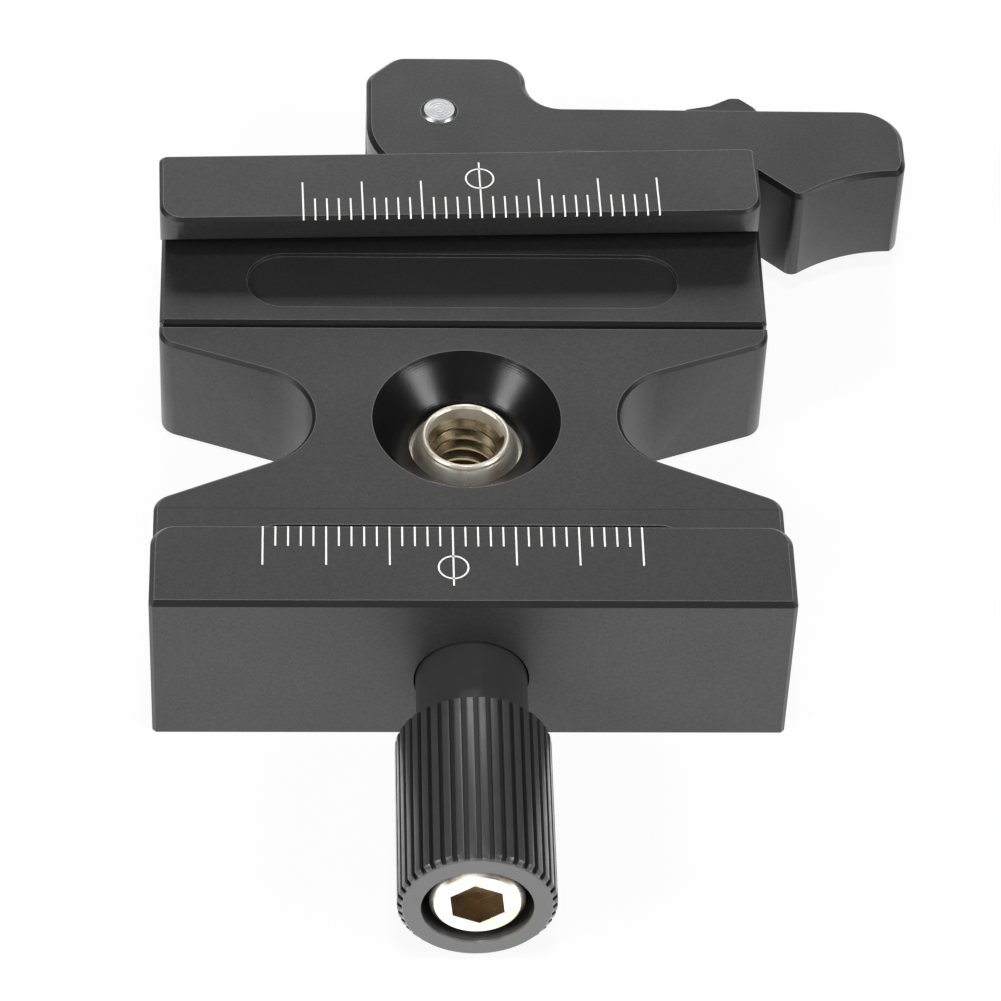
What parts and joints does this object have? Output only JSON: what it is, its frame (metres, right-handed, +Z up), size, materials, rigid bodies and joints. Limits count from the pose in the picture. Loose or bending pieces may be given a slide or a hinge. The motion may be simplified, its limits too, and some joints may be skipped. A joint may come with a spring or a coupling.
{
  "type": "dovetail quick release clamp",
  "caption": "Black anodised dovetail clamp with a waisted body, scaled jaws, tripod thread bushing, cam lever and ridged adjusting knob.",
  "frame": {"origin": "on the axis of the central tripod thread, in the plane of the flat bottom", "axes": "+Z up, +X along the jaws, +Y from the adjusting knob to the lever"},
  "size_m": [0.0643, 0.0908, 0.0155],
  "materials": {
    "black_anodised": "bead-blasted black anodised",
    "black_anodised_carriage": "bead-blasted black anodised",
    "black_anodised_jaw": "bead-blasted black anodised",
    "black_anodised_knob": "turned black anodised",
    "black_anodised_lever": "bead-blasted black anodised",
    "black_latch": "black oxide",
    "turned_stainless": "turned",
    "bright_stainless": "polished",
    "bright_pin": "turned end",
    "ground_steel": "ground",
    "rod_steel": "milled",
    "plate_steel": "rolled",
    "screw_steel": "black oxide",
    "spring_steel": "drawn wire",
    "washer_brass": "stamped"
  },
  "bodies": {
    "base": {"clamp_base": "black_anodised", "thread_bushing": "turned_stainless", "guide_pin_left": "ground_steel", "guide_pin_right": "ground_steel", "return_spring_left": "spring_steel", "return_spring_right": "spring_steel", "thrust_washer": "washer_brass"},
    "knob": {"knob": "black_anodised_knob"},
    "rod": {"draw_rod": "rod_steel", "knob_screw": "bright_stainless"},
    "carriage": {"rear_carriage": "black_anodised_carriage", "rear_jaw": "black_anodised_jaw", "jaw_screw_left": "screw_steel", "jaw_screw_right": "screw_steel", "cam_plate": "plate_steel"},
    "lever": {"lever": "black_anodised_lever", "lever_pin": "bright_pin", "latch_pin": "ground_steel", "latch_spring": "spring_steel"},
    "latch": {"safety_latch": "black_latch"}
  },
  "joints": [
    {"name": "knob_turn", "type": "hinge", "parent": "base", "child": "knob", "pos_m": [0, -0.035, 0.0065], "axis": [0, -1, 0], "range_deg": [-113, 1351]},
    {"name": "rod_slide", "type": "slide", "parent": "base", "child": "rod", "axis": [0, 1, 0], "range_m": [-0.00025, 0.003]},
    {"name": "lever_pivot", "type": "hinge", "parent": "rod", "child": "lever", "pos_m": [-0.00165, 0.0366, 0.0065], "axis": [0, 0, 1], "range_deg": [0, 90]},
    {"name": "jaw_slide", "type": "slide", "parent": "rod", "child": "carriage", "axis": [0, 1, 0], "range_m": [0, 0.0026], "deforming": ["return_spring_left", "return_spring_right"]},
    {"name": "latch_pivot", "type": "hinge", "parent": "lever", "child": "latch", "pos_m": [0.023, 0.034, 0.0065], "axis": [0, 0, -1], "range_deg": [0, 5.7], "stiffness_Nm_per_rad": 0.02, "springref_deg": -5.73, "deforming": ["latch_spring"]}
  ],
  "couplings": [
    {"joint": "knob_turn", "follows": "rod_slide", "rad_per_m": 7854},
    {"joint": "jaw_slide", "follows": "lever_pivot", "m_per_rad": 0.00165}
  ]
}
